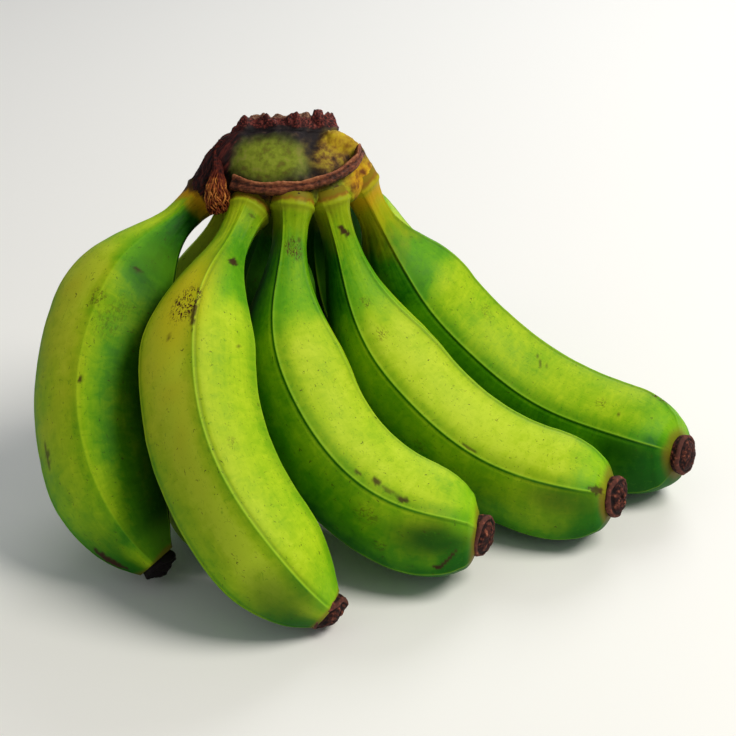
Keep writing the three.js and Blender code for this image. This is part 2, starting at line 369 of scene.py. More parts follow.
# %% [markdown]
# ## Fingers
# A green plantain is nearly five-sided: the fruit keeps the ridges of the flower it grew from. On each
# ridge the peel stands up as a thin cord, about a millimetre wide, with a shallow furrow beside it. The
# faces between are gently round. One could pull the ridges out of a subdivision surface, but then their
# width would depend on the mesh, so here the section is a formula: a circle pulled towards five flats,
# plus a narrow bell on each corner. Points crowd towards the ridges so that the cords stay crisp.

# %% Finger section
SIDES = 5
FACE = 2 * math.pi / SIDES
POINTS_PER_FACE = 28
RIDGE_CROWDING = 0.78  # 0 spaces the points evenly, near 1 packs them at the ridges
FINGER_ROWS = 220
END_CROWDING = 0.09
RIDGE_ROUNDING = math.radians(2.5)
CORD_HEIGHT = 0.30 * MM
CORD_HALF_WIDTH = 0.50 * MM
FURROW_DEPTH = 0.24 * MM
FURROW_OFFSET = 1.05 * MM
FURROW_SIDE = {"front_1": -1, "front_2": -1}  # right of the ridge: on the others it is on the left, in shade
MAIN_RIDGE = {"front_1": 0.22}  # how sharp the main ridge is: the first finger's is almost lost
CORD_STARTS, CORD_WHOLE = 8 * MM, 48 * MM  # how far from the crown the cords rise out of the stalk
CORD_ENDS = 4 * MM  # they die away over this length before the dried flower
STALK_IN_CROWN = 4 * MM  # how far a stalk's skin runs on into the crown
SLIM_SHOULDER = {"back_4": 0.13}  # how much thinner than its plain solid a fruit's shoulder is
SLIM_AT, SLIM_HALF_LENGTH = 55 * MM, 28 * MM
FRUIT_ANGULAR, STALK_ANGULAR, COLLAR_ANGULAR = 0.50, 0.70, 0.25  # 0 is round, 1 has five flat sides
COLLAR_FROM, COLLAR_TO = 2 * MM, 13 * MM  # the collar is rounder than the rest of the stalk


def section_angles():
    x = np.arange(POINTS_PER_FACE) / POINTS_PER_FACE
    one_face = (x - RIDGE_CROWDING * np.sin(2 * math.pi * x) / (2 * math.pi)) * FACE
    return np.concatenate([one_face + k * FACE for k in range(SIDES)])


def flatness(gap):
    """How far out a five-sided section reaches at an angle gap from its nearest ridge."""
    rounded = np.sqrt(gap**2 + RIDGE_ROUNDING**2)
    return math.cos(FACE / 2) / np.cos(FACE / 2 - rounded)


even_gaps = np.linspace(-FACE / 2, FACE / 2, 101)
MEAN_FLATNESS = flatness(even_gaps).mean()
angles = section_angles()
gaps = (angles + FACE / 2) % FACE - FACE / 2
side_of = np.round(angles / FACE).astype(int) % SIDES
print("section of", len(angles), "points, mean flatness", round(MEAN_FLATNESS, 3))

# %% [markdown]
# The centre line, the girth and the way the ridges point all come from the CAD rings: a ring's middle, its
# mean radius, and its five furthest points. Going from ring to ring, the ridge that lies closest to the
# last one is the same ridge.

# %% Line, girth and ridges from the CAD solid
SHOWN_SIDE = np.array([0.25, -0.85, 0.45])  # the main ridge is the one on the hand's front


def spine_of(node, corners, towards):
    """The line down a swept solid. Its ridge is whichever of the section's corners points towards."""
    rings = rings_of(node)
    centres = np.array([ring.mean(0) for ring in rings])
    steps = np.linalg.norm(np.diff(centres, axis=0), axis=1)
    distance = np.concatenate([[0], np.cumsum(steps)])
    reach = [np.linalg.norm(ring - c, axis=1) for ring, c in zip(rings, centres)]
    ridges = [unit(ring - c)[np.argsort(r)[-corners:]] for ring, c, r in zip(rings, centres, reach)]
    start = len(rings) // 2
    chosen = {start: max(ridges[start], key=lambda d: d @ towards)}
    for k in [*range(start + 1, len(rings)), *range(start - 1, -1, -1)]:
        before = chosen[k - 1] if k > start else chosen[k + 1]
        chosen[k] = max(ridges[k], key=lambda d: d @ before)
    ridge = np.array([chosen[k] for k in range(len(rings))])
    return {"distance": distance, "centre": centres, "ridge": ridge,
            "radius": np.array([r.mean() for r in reach]), "length": distance[-1]}


def stations(spine, at):
    """Centres and cross directions at distances along a spine."""
    centre = smooth_through(at, spine["distance"], spine["centre"])
    along = unit(np.gradient(centre, at, axis=0))
    ridge = smooth_through(at, spine["distance"], spine["ridge"])
    ridge = unit(ridge - along * np.sum(ridge * along, axis=1, keepdims=True))
    return centre, along, ridge, np.cross(along, ridge)


# %% [markdown]
# No two fingers are alike. Each one's ridges wander a little, some are sharper than others, and the whole
# peel is faintly uneven, as if pressed by its neighbours. A seeded random generator draws those
# numbers, so the fruit is the same every time the script runs. Where a stalk leaves the crown it widens
# and has a thin raised rim, and at the other end the peel draws in just before the dried flower.

# %% Finger skin
FINGERS = ["front_1", "front_2", "front_3", "front_4", "front_5", "back_1", "back_2", "back_3", "back_4"]
STALK_END = 62 * MM  # past here the stalk has become fruit
LIP_AT, LIP_HALF_WIDTH, LIP_HEIGHT = 2.2 * MM, 1.1 * MM, 0.6 * MM  # the rim where a stalk leaves the crown
FLARE, FLARE_LENGTH = 0.7 * MM, 7 * MM  # how much wider a stalk is there
PUCKER, PUCKER_AT, PUCKER_HALF_WIDTH = 0.3 * MM, 4 * MM, 3 * MM  # how far the peel draws in at the end
RIDGE_WANDER, WANDER_WAVE = math.radians(1.8), 30 * MM  # how far the ridges turn, and over what length
AROUND_MM = 22.0  # patterns are drawn on a tube of this radius, so fibres draw together at the stalk
BROAD_DENTS, FINE_DENTS = (26 * MM, 0.45 * MM), (7 * MM, 0.10 * MM)  # width and height
FIBRE_WIDTH_MM, FIBRE_STRETCH, FIBRE_HEIGHT = 1.9, 30, 0.20 * MM  # they are drawn out 30 times along a stalk
random = np.random.default_rng(7)


def wander(at, spread, wave):
    phases = random.uniform(0, 2 * math.pi, 2)
    return spread * (np.sin(at / wave + phases[0]) + 0.5 * np.sin(at / (0.43 * wave) + phases[1]))


def finger_grid(spine, furrow_side, main_ridge, slim):
    share = np.linspace(0, 1, FINGER_ROWS)
    share = share - END_CROWDING * np.sin(2 * math.pi * share)
    at = -STALK_IN_CROWN + share * (spine["length"] + STALK_IN_CROWN)
    centre, _, one, other = stations(spine, at)
    radius = smooth_through(np.clip(at, 0, None), spine["distance"], spine["radius"])
    radius = radius * (1 - slim * bell(at, SLIM_AT, SLIM_HALF_LENGTH))
    turn = wander(at, RIDGE_WANDER, WANDER_WAVE)
    sharp = random.uniform(0.45, 0.85, SIDES)
    sharp[0] = main_ridge
    to_end = spine["length"] - at
    angular = FRUIT_ANGULAR + (STALK_ANGULAR - FRUIT_ANGULAR) * ramp(at, STALK_END, 0)
    angular = angular * (COLLAR_ANGULAR + (1 - COLLAR_ANGULAR) * ramp(at, COLLAR_FROM, COLLAR_TO))
    round_by = angles[None, :] + turn[:, None]
    flat = flatness(gaps)[None, :] / MEAN_FLATNESS
    reach = radius[:, None] * (1 + angular[:, None] * (flat - 1))
    fade = (ramp(at, CORD_STARTS, CORD_WHOLE) * ramp(to_end, 0, CORD_ENDS))[:, None]
    across = gaps[None, :] * radius[:, None]
    cord = bell(across, 0, CORD_HALF_WIDTH) * CORD_HEIGHT
    furrow = bell(across, furrow_side * FURROW_OFFSET, CORD_HALF_WIDTH) * FURROW_DEPTH
    reach = reach + fade * sharp[side_of][None, :] * (cord - furrow)
    wider = bell(at, LIP_AT, LIP_HALF_WIDTH) * LIP_HEIGHT + bell(at, 0, FLARE_LENGTH) * FLARE
    reach = reach + wider[:, None] - (bell(to_end, PUCKER_AT, PUCKER_HALF_WIDTH) * PUCKER)[:, None]
    out = one[:, None, :] * np.cos(round_by)[..., None] + other[:, None, :] * np.sin(round_by)[..., None]
    grid = centre[:, None, :] + out * reach[..., None]
    return {"grid": grid, "at": at, "out": out, "across": across, "fade": fade[:, 0],
            "sharp": sharp, "radius": radius, "to_end": to_end, "furrow_side": furrow_side}


def on_tube(along_mm):
    """The skin's points laid on a plain tube, for patterns that run down the fruit. along_mm is a column."""
    around = np.stack([np.cos(angles), np.sin(angles), np.zeros_like(angles)], axis=-1) * AROUND_MM
    return around[None] + np.array([0, 0, 1.0]) * along_mm[..., None]


def uneven(skin, number):
    """Adds the faint dents of a real peel, and lengthwise fibres on the stalk."""
    grid, at = skin["grid"], skin["at"][:, None]
    dents = lumps(grid, BROAD_DENTS[0], 1, number) * BROAD_DENTS[1]
    dents = dents + lumps(grid, FINE_DENTS[0], 2, number) * FINE_DENTS[1]
    fibres = lumps(on_tube(at / MM / FIBRE_STRETCH), FIBRE_WIDTH_MM, 2, number + 20) * FIBRE_HEIGHT
    fibres = fibres * ramp(at, STALK_END, 12 * MM)
    return grid + skin["out"] * ((dents + fibres) * ramp(at, -1 * MM, 3 * MM))[..., None]


finger_skins, finger_pieces = {}, {}
for number, name in enumerate(FINGERS):
    spine = spine_of("finger_" + name, SIDES, SHOWN_SIDE)
    main_ridge, slim = MAIN_RIDGE.get(name, 1.0), SLIM_SHOULDER.get(name, 0)
    skin = finger_grid(spine, FURROW_SIDE.get(name, 1), main_ridge, slim)
    skin["spine"] = spine
    skin["grid"] = uneven(skin, number)
    piece = closed_skin("peel_" + name, skin["grid"])
    finger_skins[name], finger_pieces[name] = skin, piece
    stand_for(piece, "finger_" + name)
    girth = 2 * skin["radius"].max() / MM
    print(name, "length", round(spine["length"] / MM), "mm, girth", round(girth, 1), "mm")

# %% [markdown]
# ## Tone of each peel, with painted light and shade
# Before the material comes a map of each fruit, one number after another on each point of its skin. The first
# says how light the peel is there. Faces turned to the key lamp are painted lighter and yellower, as painted
# light, and faces turned away are painted darker, as painted shade; a real plantain's sunlit side is yellower
# too. A face that lies against its neighbour is painted deep green, as painted shade. A small table gives
# each face of each fruit a lighter or darker, greener or more olive tone, partly its own ageing and partly
# painted light and shade. Face 0 lies left of the main ridge, and the others follow round the fruit. A shader
# could find the lit side by itself from the normals, but it couldn't know which face lies against a
# neighbour, so all of it is worked out here.

# %% Tone of the peel
# the way to the key lamp: the peel is painted lighter where it faces this way, as painted light, and darker
# where it faces away, as painted shade
LAMP_WAY = unit(np.array([0.50, -0.20, 0.84]))
RIGHT = np.array([1.0, 0, 0])
FINGER_APART_MM = 400.0  # keeps the patterns of two fingers apart
# how much lighter each face is, from face 0 round to face 4: partly its own ageing and partly painted light
# and shade, lighter on the lit back finger, darker on the first finger's right faces and between the stalks
FACE_TONE = {
    "front_1": (0.40, 0.34, 0, -0.3, -0.40), "front_2": (0.48, 0.30, 0, 0, -0.04),
    "front_3": (0.14, 0.28, 0, 0, 0.04), "front_4": (0.36, 0.14, 0, 0, 0.12),
    "front_5": (0.10, 0.22, 0, 0, -0.08), "back_1": (0.80, 0.70, 0.30, 0.30, 0.80),
    "back_2": (-0.35, -0.1, 0, 0, -0.35), "back_3": (-0.35, -0.1, 0, 0, -0.35), "back_4": (-0.2, 0, 0, 0, 0),
}
# how olive each face is, where it isn't as on the other fingers
FACE_OLIVE = {"front_1": (0.7, 0.5, 0.3, 0, 0.05), "front_2": (0.70, 0.6, 0.3, 0.1, 0.08)}
OTHER_OLIVE = (0, 0.1, 0.2, 0.2, 0.08)
# how far each face is painted the darkest green, as painted shade where it lies in its neighbour's shadow
FACE_SHADE = {"front_1": (0, 0, 0, 1.0, 0.85), "back_1": (0.7, 0.7, 0.7, 0.7, 0.7)}
OTHER_SHADE = (0, 0, 0, 0, 0)
# millimetres from the crown where that painted shade starts and where it is whole
SHADE_FROM = {"back_1": (90, 140)}
OTHER_SHADE_FROM = (30, 70)


def by_face(values):
    """One value for each face, blended softly across the ridges, at every angle of the section."""
    middles = (np.arange(SIDES) + 0.5) * FACE
    near = np.array([bell((angles - m + math.pi) % (2 * math.pi) - math.pi, 0, 0.5 * FACE) for m in middles])
    return (np.array(values)[:, None] * near).sum(0) / near.sum(0)


def facing_way(name, way):
    """How far each point of a finger's skin faces a way, from -1 to 1."""
    rows, columns, _ = finger_skins[name]["grid"].shape
    return (read_points(finger_pieces[name], "normal")[:rows * columns] @ way).reshape(rows, columns)


def tone_peel(name, number):
    skin, piece = finger_skins[name], finger_pieces[name]
    grid, at, to_end = skin["grid"], skin["at"][:, None] / MM, skin["to_end"][:, None] / MM
    across, strength = skin["across"] / MM, skin["fade"][:, None] * skin["sharp"][side_of][None]
    facing = facing_way(name, LAMP_WAY)
    # the round end is toned by the side it belongs to, so that its tip doesn't turn dark or light
    facing = facing + (skin["out"] @ LAMP_WAY - facing) * ramp(to_end, 16, 6)
    patches = lumps(grid * np.array([1, 1, 0.6]), 13 * MM, 2, number + 100)
    band = strength * bell(across, -1.2 * skin["furrow_side"], 3.8 + 1.2 * patches)
    # painted light and shade: the more a point faces the lamp, the lighter and yellower it is painted
    tone = 0.10 + 0.74 * ramp(facing, -0.45, 0.80) + by_face(FACE_TONE[name])
    tone = tone + 0.11 * patches - 0.22 * band - 0.34 * ramp(at + 7 * patches, 64, 42)
    tone = tone - 0.16 * ramp(to_end + 3 * patches, 26, 5)
    # painted shade: darker green on faces turned away from the lamp, near the tip and on the stalk, plus a
    # darker band beside the ridge on the faces turned to it
    shade_and_band = ramp(to_end, 34, 8) * ramp(facing, 0.40, -0.1) + 0.6 * ramp(at, 50, 15) * ramp(facing, 0.3, -0.3)
    shade_and_band = shade_and_band + 0.45 * band * ramp(facing, 0.2, 0.7)
    # painted light: paler green on faces turned to the lamp, near the tip and on the shoulder
    painted_light = ramp(to_end, 18, 4) * ramp(facing, 0.35, 0.7) + 0.8 * bell(at, 44, 12) * ramp(facing, 0.2, 0.8)
    shoulder = ramp(at, 30, 60) * ramp(to_end / (at + to_end), 0.12, 0.55)  # where the olive is strongest
    olive = by_face(FACE_OLIVE.get(name, OTHER_OLIVE)) * (0.7 + 0.6 * patches) * shoulder
    # painted shade: the darkest green, on faces turned towards the neighbour on the right
    deep = by_face(FACE_SHADE.get(name, OTHER_SHADE)) * ramp(facing_way(name, RIGHT), 0.28, 0.80)
    deep = deep * ramp(at, *SHADE_FROM.get(name, OTHER_SHADE_FROM))
    paint(piece, "peel_place", on_tube(at + number * FINGER_APART_MM))
    paint(piece, "tone", tone)
    paint(piece, "shade_and_band", np.clip(shade_and_band, 0, 1))
    paint(piece, "deep", deep)
    paint(piece, "painted_light", np.clip(painted_light, 0, 1))
    paint(piece, "olive", np.clip(olive, 0, 1))
    # a painted highlight along each cord, and painted shade in the furrow beside it
    paint(piece, "crest", strength * bell(across, 0, 0.30) * ramp(at, 15, 55))
    paint(piece, "furrow", strength * bell(across, skin["furrow_side"] * FURROW_OFFSET / MM, 0.42))
    paint(piece, "end_rim", ramp(to_end + 1.2 * patches, 2.2, 0.4))
    print(name, "mean tone", round(float(tone.mean()), 2))


for number, name in enumerate(FINGERS):
    tone_peel(name, number)

# %% [markdown]
# The stalks carry the first ripening: near the crown they turn yellow, and furthest down on the last finger
# of the row. Where a stalk leaves the crown there is a collar of yellow-green skin, with a thin rim that has
# dried brown. The first and the last stalk are orange there, and the first is scorched maroon under the
# strap. These colours only depend on how far down a point is, so each is one ramp, with a ragged edge.

# %% Stalk colours
# how yellow it is, and how many millimetres down it reaches
STALK_YELLOW = {
    "front_1": (1.0, 17), "front_2": (0.25, 22), "front_3": (0.3, 24), "front_4": (0.5, 26),
    "front_5": (0.8, 42),
}
OTHER_YELLOW = (0.35, 22)
SCORCHED = {"front_1": 1.0}
SCORCH_END, SCORCH_EDGE = 7.5, 1.5
ORANGE = {"front_1": 0.9, "front_5": 0.6}


def colour_stalk(name, number):
    skin, piece = finger_skins[name], finger_pieces[name]
    at = skin["at"][:, None] / MM
    strength, end = STALK_YELLOW.get(name, OTHER_YELLOW)
    ragged = lumps(skin["grid"] * np.array([1, 1, 0.5]), 6 * MM, 3, number + 120)
    fine = lumps(skin["grid"], 2.2 * MM, 2, number + 140)
    paint(piece, "yellow", strength * ramp(at + 0.2 * end * ragged, end, 0.25 * end))
    paint(piece, "orange", ORANGE.get(name, 0) * ramp(at + 3 * ragged, 15, 8))
    paint(piece, "collar", ramp(at + 1.6 * ragged, 6.0, 3.0))
    paint(piece, "lip", bell(at + 0.6 * fine, LIP_AT - 0.4, 0.9) * ramp(fine, -0.9, -0.1))
    paint(piece, "hem", ramp(at + 1.3 * fine + 0.8 * ragged, 1.2, -0.6))
    scorched = ramp(at + 1.2 * fine + 1.5 * ragged, SCORCH_END + SCORCH_EDGE, SCORCH_END - SCORCH_EDGE)
    paint(piece, "scorch", SCORCHED.get(name, 0) * scorched)
    print(name, "stalk is yellow down to", end, "mm")


for number, name in enumerate(FINGERS):
    colour_stalk(name, number)

# %% [markdown]
# The marks of handling are placed one by one, a few on each fruit, because a random scatter would look like a
# pattern. A bruise is one dark spot or a thin scratch with a ragged edge, and a graze breaks up into specks.
# Two kinds are large and soft. A ripe patch has begun to yellow. A shade patch is painted shade, a darker
# green mostly near the tip, and it ends at the main ridge.

# %% Marks of handling
# kind, millimetres from the crown, degrees to the left of the main ridge, half the length and half the width
# in millimetres, slant in degrees, strength
MARKS = {
    "front_1": [
        ("graze", 72, 1, 4, 3.5, 0, 0.6), ("graze", 78, 340, 10, 6, 20, 0.34),
        ("bruise", 105, 357, 1.2, 0.8, 0, 0.9), ("bruise", 129, 53, 4.5, 1.5, 0, 0.8),
        ("bruise", 170, 60, 6, 1.8, 0, 1.0), ("bruise", 54, 337, 1.0, 1.8, 0, 0.9),
        ("graze", 147, 36, 3, 1.5, 0, 0.6),
    ],
    "front_2": [
        ("graze", 62, 14, 8, 6, 10, 1.5), ("bruise", 68, 1, 5.5, 0.9, 0, 0.9),
        ("bruise", 33, 319, 2.4, 1.9, 30, 1.0), ("ripe", 58, 26, 22, 11, 0, 0.9),
        ("shade", 178, 30, 14, 13, 0, 0.6), ("shade", 132, 34, 30, 14, 0, 0.26),
        ("bruise", 76, 27, 0.9, 0.9, 0, 0.7), ("bruise", 78, 311, 1.1, 0.8, 40, 0.7),
        ("bruise", 7, 325, 0.6, 1.8, 0, 0.6), ("graze", 120, 337, 3, 2, 0, 0.4),
    ],
    "front_3": [
        ("graze", 20, 330, 4, 2.6, 0, 1.6), ("graze", 22, 307, 4, 2, 0, 1.4),
        ("bruise", 17, 303, 1.1, 0.7, 0, 0.6), ("bruise", 128, 353, 1.6, 0.7, 0, 0.8),
        ("bruise", 136, 350, 2.6, 1.0, 0, 0.9), ("bruise", 142, 352, 7, 0.5, 0, 0.6),
        ("bruise", 150, 354, 2.2, 1.2, 0, 0.9), ("bruise", 173, 52, 4.6, 0.6, -55, 1.0),
        ("bruise", 169.5, 61, 1.8, 0.6, 30, 1.0), ("shade", 168, 26, 15, 8, 0, 1.0),
        ("graze", 140, 23, 5, 4, 0, 0.5), ("graze", 149, 49, 3, 2.5, 0, 0.7),
    ],
    "front_4": [
        ("bruise", 15, 319, 3.2, 1.4, -35, 1.0), ("graze", 47, 333, 2.5, 2.5, 0, 0.7),
        ("graze", 63, 337, 3, 3, 0, 0.6), ("shade", 182, 15, 17, 6.5, 0, 0.75),
        ("bruise", 191, 357, 2.4, 1.5, 0, 0.9), ("bruise", 131, 357, 3.5, 0.6, 0, 0.7),
        ("graze", 112, 30, 4, 3, 0, 0.4),
    ],
    "front_5": [
        ("bruise", 130, 314, 3, 0.5, 35, 0.75), ("bruise", 133, 318, 2.6, 0.5, -25, 0.7),
        ("bruise", 184, 337, 0.8, 0.8, 0, 0.7), ("graze", 172, 330, 3, 3, 0, 0.6),
        ("graze", 195, 285, 7, 3, 0, 0.9), ("graze", 90, 310, 5, 3, 30, 0.4),
        ("shade", 194, 14, 15, 4.5, 0, 0.7),
    ],
    "back_1": [("graze", 80, 170, 6, 4, 20, 0.8), ("bruise", 104, 200, 4, 0.7, 30, 0.8)],
    "back_2": [("graze", 60, 200, 5, 4, 0, 0.7), ("bruise", 92, 170, 1.4, 1.0, 0, 0.8)],
    "back_3": [("bruise", 75, 180, 4, 0.6, -30, 0.8), ("graze", 110, 150, 6, 3, 0, 0.7)],
    "back_4": [("graze", 70, 160, 8, 5, 20, 0.9), ("bruise", 118, 190, 1.6, 1.2, 0, 0.9)],
}
# where a mark begins to show and where it is whole, in shares of its half size
MARK_EDGE = {"bruise": (1.30, 0.8), "graze": (1.35, 0.6), "ripe": (1.7, 0.2), "shade": (1.7, 0.3)}


def round_the_fruit(skin, turn):
    """Millimetres round the peel to each point, from a line that many degrees left of the main ridge."""
    degrees = (np.degrees(angles) - turn + 180) % 360 - 180
    return np.radians(degrees)[None] * skin["radius"][:, None] / MM


def mark_peel(name):
    skin, piece = finger_skins[name], finger_pieces[name]
    at = skin["at"][:, None] / MM
    layers = {kind: np.zeros(skin["across"].shape) for kind in MARK_EDGE}
    ragged = 0.5 * lumps(skin["grid"], 1.8 * MM, 2, 160)
    for kind, distance, turn, half_length, half_width, slant, strength in MARKS[name]:
        along, aside = at - distance, round_the_fruit(skin, turn)
        c, s = math.cos(math.radians(slant)), math.sin(math.radians(slant))
        far = np.hypot((along * c + aside * s) / half_length, (aside * c - along * s) / half_width)
        if kind == "bruise":
            far = far + ragged
        shown = strength * ramp(far, *MARK_EDGE[kind])
        # painted shade ends at the main ridge
        if kind == "shade":
            shown = shown * ramp(round_the_fruit(skin, 0), -0.3, 1.2)
        layers[kind] = np.maximum(layers[kind], shown)
    for kind, values in layers.items():
        paint(piece, kind, values)


for name in FINGERS:
    mark_peel(name)
print(sum(len(marks) for marks in MARKS.values()), "marks")

# %% [markdown]
# ## Peel material
# The peel of a green plantain is waxy and satin, and it is never one green. Under the wax there are thin
# lengthwise fibres and short darker flecks. Fresh wax shines, but on cut fruit it has gone dull, so the
# roughness is middling and the reflection weak, which leaves a broad soft sheen. The tone mapped above, with
# the fibres added, goes through one ramp from deep to yellow green, and through a second, more olive ramp
# on the faces that yellowed. The stalk, the ridges, the tip and the marks are then laid over it, one layer
# after another. One picture of a peel would be quicker, but it would stretch and show the same marks nine
# times.

# %% Peel material
# sizes of a lump across and along the fruit in millimetres, detail and distortion. A spot is only the top
# of a lump, so it comes out smaller than the lump
PEEL_NOISES = {
    "fibres": (1.1, 16, 3.0, 0.0), "mottle": (4.5, 3.2, 4.0, 0.6), "flecks": (1.3, 2.0, 2.0, 1.5),
    "specks": (1.4, 1.6, 2.0, 1.0), "broken": (0.9, 1.5, 3.0, 0.8),
}
# which part of a noise becomes spots: where they begin and where they are whole
PEEL_SPOTS = {"flecks": (0.62, 0.70), "specks": (0.67, 0.72), "broken": (0.50, 0.58)}
PEEL_MAPS = (
    "tone", "shade_and_band", "deep", "painted_light", "olive", "crest", "furrow", "end_rim", "yellow", "orange", "collar",
    "lip", "hem", "scorch", "bruise", "graze", "ripe", "shade",
)
GREENS = {0.0: "#0f4804", 0.22: "#226a05", 0.45: "#4f9206", 0.66: "#82b00b", 0.86: "#a8c71a", 1.0: "#bbd42e"}
OLIVES = {0.0: "#2c4a06", 0.25: "#587008", 0.5: "#80920c", 0.75: "#a3ab14", 1.0: "#bfbe24"}


def make_peel():
    material, tree, shader = new_material("waxy_green_peel", 0.5)
    shader.inputs["Specular IOR Level"].default_value = 0.09
    place = add(tree, "ShaderNodeAttribute", {"attribute_name": "peel_place"}, 1)
    on = {n: add(tree, "ShaderNodeAttribute", {"attribute_name": n}, 2) for n in PEEL_MAPS}
    noises = {}
    for name, (wide, long, detail, twist) in PEEL_NOISES.items():
        scaled = add(tree, "ShaderNodeMapping", Vector=place, Scale=(1 / wide, 1 / wide, 1 / long))
        noises[name] = add(tree, "ShaderNodeTexNoise", Vector=scaled, Scale=1.0, Detail=detail, Roughness=0.6,
                           Distortion=twist)
    for name, (begin, whole) in PEEL_SPOTS.items():
        on[name] = add(tree, "ShaderNodeMapRange", _0=noises[name], _1=begin, _2=whole)

    # the tone is shifted so that the two noises, which average a half, leave it where it was
    tone = on["tone"]
    for name, amount in (("fibres", 0.14), ("mottle", 0.38)):
        tone = add(tree, "ShaderNodeMath", {"operation": "MULTIPLY_ADD"}, _0=noises[name], _1=amount, _2=tone)
    tone = add(tree, "ShaderNodeMath", {"operation": "SUBTRACT"}, _0=tone, _1=0.26)
    green = add(tree, "ShaderNodeValToRGB", {"stops": GREENS}, Fac=tone)
    olive = add(tree, "ShaderNodeValToRGB", {"stops": OLIVES}, Fac=tone)
    broken_graze = add(tree, "ShaderNodeMath", {"operation": "MULTIPLY"}, _0=on["graze"], _1=on["broken"])
    # the dark greens are painted shade, on faces turned away from the lamp, in the shade patches and,
    # darkest, against a neighbour; the first of them also holds a darker band beside the ridge. The pale
    # green on faces turned to the lamp is painted light. The crest's light green is a painted highlight on
    # the cord, and the furrow's dark green painted shade in it
    layers = (
        (on["olive"], 1.0, olive), (on["shade_and_band"], 0.70, "#125a04"), (on["shade"], 0.95, "#0c4806"),
        (on["deep"], 0.97, "#05200a"), (on["painted_light"], 0.36, "#74b812"), (on["ripe"], 0.80, "#d0be0c"),
        (on["yellow"], 1.0, "#aca406"), (on["orange"], 1.0, "#c88f0c"), (on["flecks"], 0.40, "#3f7a0c"),
        (on["specks"], 0.80, "#3a3c0e"), (on["crest"], 0.50, "#a4d634"), (on["furrow"], 0.36, "#164c04"),
        (on["collar"], 0.60, "#98a018"), (on["lip"], 0.80, "#a87a1e"), (on["hem"], 0.60, "#6a3e12"),
        (on["end_rim"], 0.65, "#7a5c1c"), (on["scorch"], 0.92, "#2c1210"), (broken_graze, 1.0, "#46240e"),
        (on["bruise"], 0.95, "#36150f"),
    )
    tree.links.new(lay_over(tree, green, layers), shader.inputs["Base Color"])
    rough = add(tree, "ShaderNodeMath", {"operation": "MULTIPLY_ADD"}, _0=noises["mottle"], _1=0.22, _2=0.40)
    tree.links.new(rough, shader.inputs["Roughness"])
    grain = add(tree, "ShaderNodeBump", Height=noises["fibres"], Strength=0.12, Distance=0.3 * MM)
    tree.links.new(grain, shader.inputs["Normal"])
    return material


waxy_green_peel = make_peel()
for piece in finger_pieces.values():
    piece.data.materials.append(waxy_green_peel)
print("peel material:", len(waxy_green_peel.node_tree.nodes), "nodes")

# %% [markdown]
# ## Dried flowers
# What is left of the flower sits on each fruit's end as a rough corky button: a thick rim, a groove inside
# it, a low face that crumbles. Sculpting nine of them by hand would take long, and no two would match in
# size. So its profile is a short list of places, out along the finger's line and away from it, which is
# turned round the line and then broken up with folds and crumbs that differ from fruit to fruit.

# %% Blossom ends
BUTTON_POINTS = 120
BUTTON_ROWS = 72
# millimetres out from the fruit's end, and away from its line: side, rim, the groove inside it, face
BUTTON_PROFILE = [
    (-3.4, 7.0), (-1.2, 7.9), (0.3, 8.4), (1.7, 8.8), (2.9, 8.9), (3.7, 8.5), (4.0, 7.8), (3.7, 7.0),
    (4.3, 6.2), (5.3, 5.0), (5.9, 3.4), (6.1, 1.8), (6.0, 0.4),
]
FRONT = np.array([0, -1.0, 0])
BUTTON_LEAN = {"front_2": 34, "front_3": 20, "front_5": 0}
OTHER_LEAN = 12  # degrees: the dried flowers sit a little askew, turned to the hand's front
BUTTON_SHADE = {"front_1": 1.0}  # how far it is painted black, as painted shade
BUTTON_SIZE = {"front_1": 0.86}  # it has shrunk
ASKEW = 1.2 * MM  # one side of the rim stands out further than the other
FOLD_WIDTH, CRUMB_WIDTH = 4.6 * MM, 2.0 * MM
FOLD_HEIGHT, CRUMB_HEIGHT = 0.45 * MM, 0.30 * MM


def button_grid(spine, number, lean, size):
    profile = np.array(BUTTON_PROFILE) * [1, size] * MM
    knots = np.arange(len(profile), dtype=float)
    outline = smooth_through(np.linspace(0, knots[-1], BUTTON_ROWS), knots, profile)
    centre, along, _, _ = stations(spine, spine["length"] + np.array([-1.0, 0.0, 1.0]) * MM)
    front = unit(FRONT - (FRONT @ along[1]) * along[1])
    axis = along[1] * math.cos(lean) + front * math.sin(lean)
    side = unit(np.cross(axis, front))
    spokes = all_round(side, np.cross(axis, side), BUTTON_POINTS)
    askew = lumps(spokes * 1.1, 1.0, 1, number + 30)
    grid = centre[1] + spokes[None] * outline[:, 1, None, None]
    shown = ramp(outline[:, 0], -1.0 * MM, 1.5 * MM)[:, None]
    grid = grid + axis * (outline[:, 0, None] + shown * askew * ASKEW)[..., None]
    folds = lumps(grid, FOLD_WIDTH, 1, number + 40)
    crumbs = lumps(grid, CRUMB_WIDTH, 3, number + 60)
    out = unit(grid - (centre[1] + axis * 1.0 * MM))
    height = FOLD_HEIGHT * folds + CRUMB_HEIGHT * crumbs
    grid = grid + out * (height * shown)[..., None]
    return grid, outline, 0.5 * folds + crumbs


